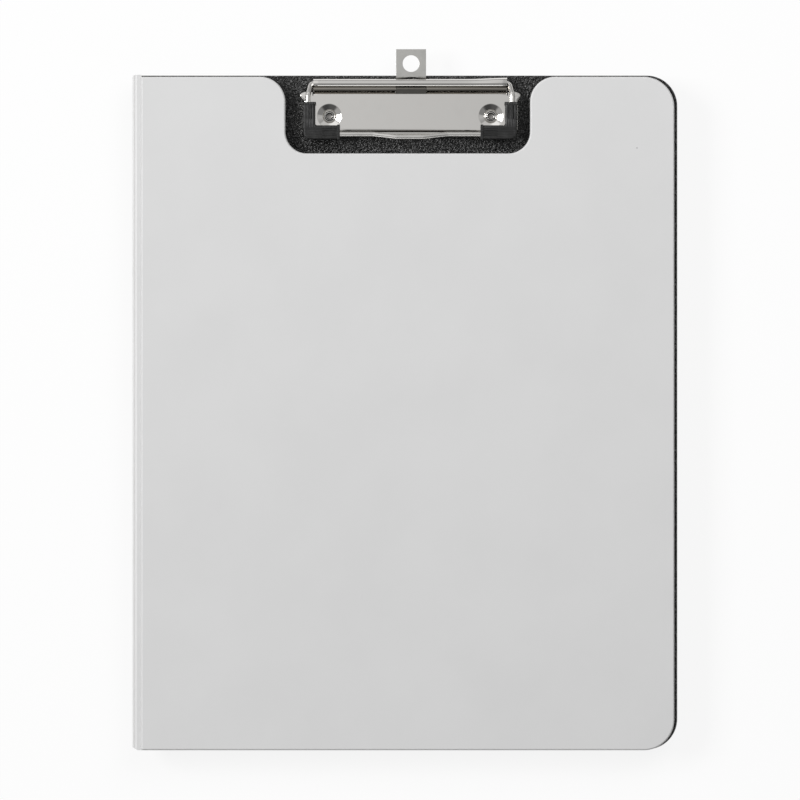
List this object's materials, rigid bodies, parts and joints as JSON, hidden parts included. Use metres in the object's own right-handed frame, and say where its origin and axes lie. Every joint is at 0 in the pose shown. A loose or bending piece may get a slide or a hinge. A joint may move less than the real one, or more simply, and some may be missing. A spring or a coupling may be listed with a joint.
{
  "type": "clipboard folder",
  "caption": "Hard-cover folder for A4 sheets with a wire clip on its back board and a notched cover that folds right round behind it.",
  "frame": {"origin": "on the back board's outer face, under the clip's centre line and at half the folder's height", "axes": "+X from the spine to the free edge, +Y to the clip, +Z through the closed cover"},
  "size_m": [0.2504, 0.322, 0.0102],
  "materials": {
    "greyboard": "raw pressed greyboard",
    "white_foil": "smooth satin foil",
    "black_foil": "fine pebble grain",
    "crease_foil": "welded crease, white outside and black inside",
    "pocket_foil": "smooth matt foil",
    "plated_sheet": "polished nickel plate",
    "plated_rivet": "polished nickel plate",
    "plated_wire": "polished nickel plate",
    "hook_strip": "dull plated strip",
    "grip_rubber": "matt, finely ribbed"
  },
  "bodies": {
    "back_board": {"back_outer_foil": "white_foil", "back_core": "greyboard", "back_liner": "black_foil", "clip_plate": "plated_sheet", "clip_rivets": "plated_rivet"},
    "spine": {"spine_outer_foil": "white_foil", "spine_core": "greyboard", "spine_liner": "black_foil", "rear_hinge_web": "crease_foil"},
    "front_cover": {"cover_outer_foil": "white_foil", "cover_core": "greyboard", "cover_liner": "black_foil", "inner_pocket": "pocket_foil", "front_hinge_web": "crease_foil"},
    "wire_bail": {"bail_wire": "plated_wire", "corner_grip_left": "grip_rubber", "corner_grip_right": "grip_rubber"},
    "hook": {"hanging_hook": "hook_strip"}
  },
  "joints": [
    {"name": "spine_fold", "type": "hinge", "parent": "back_board", "child": "spine", "pos_m": [-0.1262, 0, 0.0013], "axis": [0, -1, 0], "range_deg": [0, 180], "deforming": ["rear_hinge_web"]},
    {"name": "cover_fold", "type": "hinge", "parent": "spine", "child": "front_cover", "pos_m": [-0.1262, 0, 0.0075], "axis": [0, -1, 0], "range_deg": [0, 180], "deforming": ["front_hinge_web"]},
    {"name": "bail_lift", "type": "hinge", "parent": "back_board", "child": "wire_bail", "pos_m": [0, 0.15115, 0.00453], "axis": [-1, 0, 0], "range_deg": [0, 105], "stiffness_Nm_per_rad": 0.1, "springref_deg": -28.65},
    {"name": "hook_slide", "type": "slide", "parent": "back_board", "child": "hook", "axis": [0, -1, 0], "range_m": [0, 0.01]}
  ]
}
